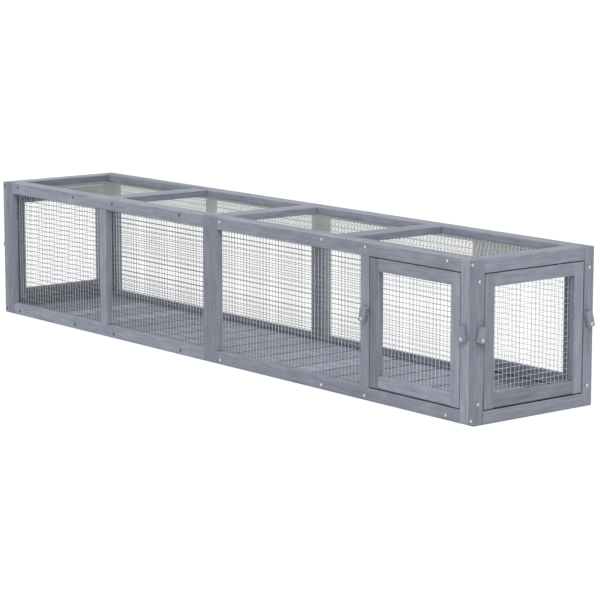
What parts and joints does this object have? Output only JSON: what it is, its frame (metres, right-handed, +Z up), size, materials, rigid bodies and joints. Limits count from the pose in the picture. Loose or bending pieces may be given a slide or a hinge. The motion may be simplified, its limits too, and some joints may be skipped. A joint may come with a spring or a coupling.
{
  "type": "cat run",
  "caption": "Long low outdoor cat run: timber frames with welded wire mesh, a meshed top, a slatted floor and lift-out doors in the sides and ends, held by wooden turn buttons.",
  "frame": {"origin": "middle of the underside", "axes": "+X along the run towards the end with the side doors, +Y from the front to the back, +Z up"},
  "size_m": [2.0296, 0.4106, 0.381],
  "materials": {
    "frame_timber": "grey-blue water stain on softwood, grain showing",
    "floor_boards": "grey-blue stained softwood slats",
    "inner_timber": "grey-blue stained softwood",
    "turn_buttons": "grey-blue stained softwood",
    "mesh_wire": "galvanised welded wire",
    "screws": "bright zinc plate"
  },
  "bodies": {
    "frame": {"back_left_bottom_rail": "frame_timber", "back_left_mesh": "mesh_wire", "back_left_stiles": "frame_timber", "back_left_top_rail": "frame_timber", "back_right_bottom_rail": "frame_timber", "back_right_mesh": "mesh_wire", "back_right_stiles": "frame_timber", "back_right_top_rail": "frame_timber", "door_stops": "inner_timber", "floor_bearers": "inner_timber", "floor_boards_1": "floor_boards", "floor_boards_2": "floor_boards", "floor_boards_3": "floor_boards", "floor_boards_4": "floor_boards", "frame_screws": "screws", "front_left_bottom_rail": "frame_timber", "front_left_mesh": "mesh_wire", "front_left_stiles": "frame_timber", "front_left_top_rail": "frame_timber", "front_right_bottom_rail": "frame_timber", "front_right_mesh": "mesh_wire", "front_right_stiles": "frame_timber", "front_right_top_rail": "frame_timber", "left_end_rails": "frame_timber", "left_end_stiles": "frame_timber", "pivot_screws": "screws", "right_end_rails": "frame_timber", "right_end_stiles": "frame_timber", "top_panel_1_cross_bars": "frame_timber", "top_panel_1_mesh": "mesh_wire", "top_panel_1_side_bars": "frame_timber", "top_panel_2_cross_bars": "frame_timber", "top_panel_2_mesh": "mesh_wire", "top_panel_2_side_bars": "frame_timber", "top_panel_3_cross_bars": "frame_timber", "top_panel_3_mesh": "mesh_wire", "top_panel_3_side_bars": "frame_timber", "top_panel_4_cross_bars": "frame_timber", "top_panel_4_mesh": "mesh_wire", "top_panel_4_side_bars": "frame_timber"},
    "front_door": {"front_door_mesh": "mesh_wire", "front_door_rails": "frame_timber", "front_door_stiles": "frame_timber"},
    "back_door": {"back_door_mesh": "mesh_wire", "back_door_rails": "frame_timber", "back_door_stiles": "frame_timber"},
    "left_door": {"left_door_mesh": "mesh_wire", "left_door_rails": "frame_timber", "left_door_stiles": "frame_timber"},
    "right_door": {"right_door_mesh": "mesh_wire", "right_door_rails": "frame_timber", "right_door_stiles": "frame_timber"},
    "front_door_button_1": {"front_door_button_1": "turn_buttons"},
    "front_door_button_2": {"front_door_button_2": "turn_buttons"},
    "back_door_button_1": {"back_door_button_1": "turn_buttons"},
    "back_door_button_2": {"back_door_button_2": "turn_buttons"},
    "left_door_button_1": {"left_door_button_1": "turn_buttons"},
    "left_door_button_2": {"left_door_button_2": "turn_buttons"},
    "right_door_button_1": {"right_door_button_1": "turn_buttons"},
    "right_door_button_2": {"right_door_button_2": "turn_buttons"}
  },
  "joints": [
    {"name": "front_door_lift_out", "type": "slide", "parent": "frame", "child": "front_door", "axis": [0, -1, 0], "range_m": [0, 0.3]},
    {"name": "back_door_lift_out", "type": "slide", "parent": "frame", "child": "back_door", "axis": [0, 1, 0], "range_m": [0, 0.3]},
    {"name": "left_door_lift_out", "type": "slide", "parent": "frame", "child": "left_door", "axis": [-1, 0, 0], "range_m": [0, 0.3]},
    {"name": "right_door_lift_out", "type": "slide", "parent": "frame", "child": "right_door", "axis": [1, 0, 0], "range_m": [0, 0.3]},
    {"name": "front_door_button_1_turn", "type": "hinge", "parent": "frame", "child": "front_door_button_1", "pos_m": [0.617, -0.1905, 0.199], "axis": [0, -1, 0], "continuous": true},
    {"name": "front_door_button_2_turn", "type": "hinge", "parent": "frame", "child": "front_door_button_2", "pos_m": [0.968, -0.1905, 0.199], "axis": [0, -1, 0], "continuous": true},
    {"name": "back_door_button_1_turn", "type": "hinge", "parent": "frame", "child": "back_door_button_1", "pos_m": [0.617, 0.1905, 0.199], "axis": [0, 1, 0], "continuous": true},
    {"name": "back_door_button_2_turn", "type": "hinge", "parent": "frame", "child": "back_door_button_2", "pos_m": [0.968, 0.1905, 0.199], "axis": [0, 1, 0], "continuous": true},
    {"name": "left_door_button_1_turn", "type": "hinge", "parent": "frame", "child": "left_door_button_1", "pos_m": [-1, -0.1755, 0.199], "axis": [-1, 0, 0], "continuous": true},
    {"name": "left_door_button_2_turn", "type": "hinge", "parent": "frame", "child": "left_door_button_2", "pos_m": [-1, 0.1755, 0.199], "axis": [-1, 0, 0], "continuous": true},
    {"name": "right_door_button_1_turn", "type": "hinge", "parent": "frame", "child": "right_door_button_1", "pos_m": [1, -0.1755, 0.199], "axis": [1, 0, 0], "continuous": true},
    {"name": "right_door_button_2_turn", "type": "hinge", "parent": "frame", "child": "right_door_button_2", "pos_m": [1, 0.1755, 0.199], "axis": [1, 0, 0], "continuous": true}
  ]
}
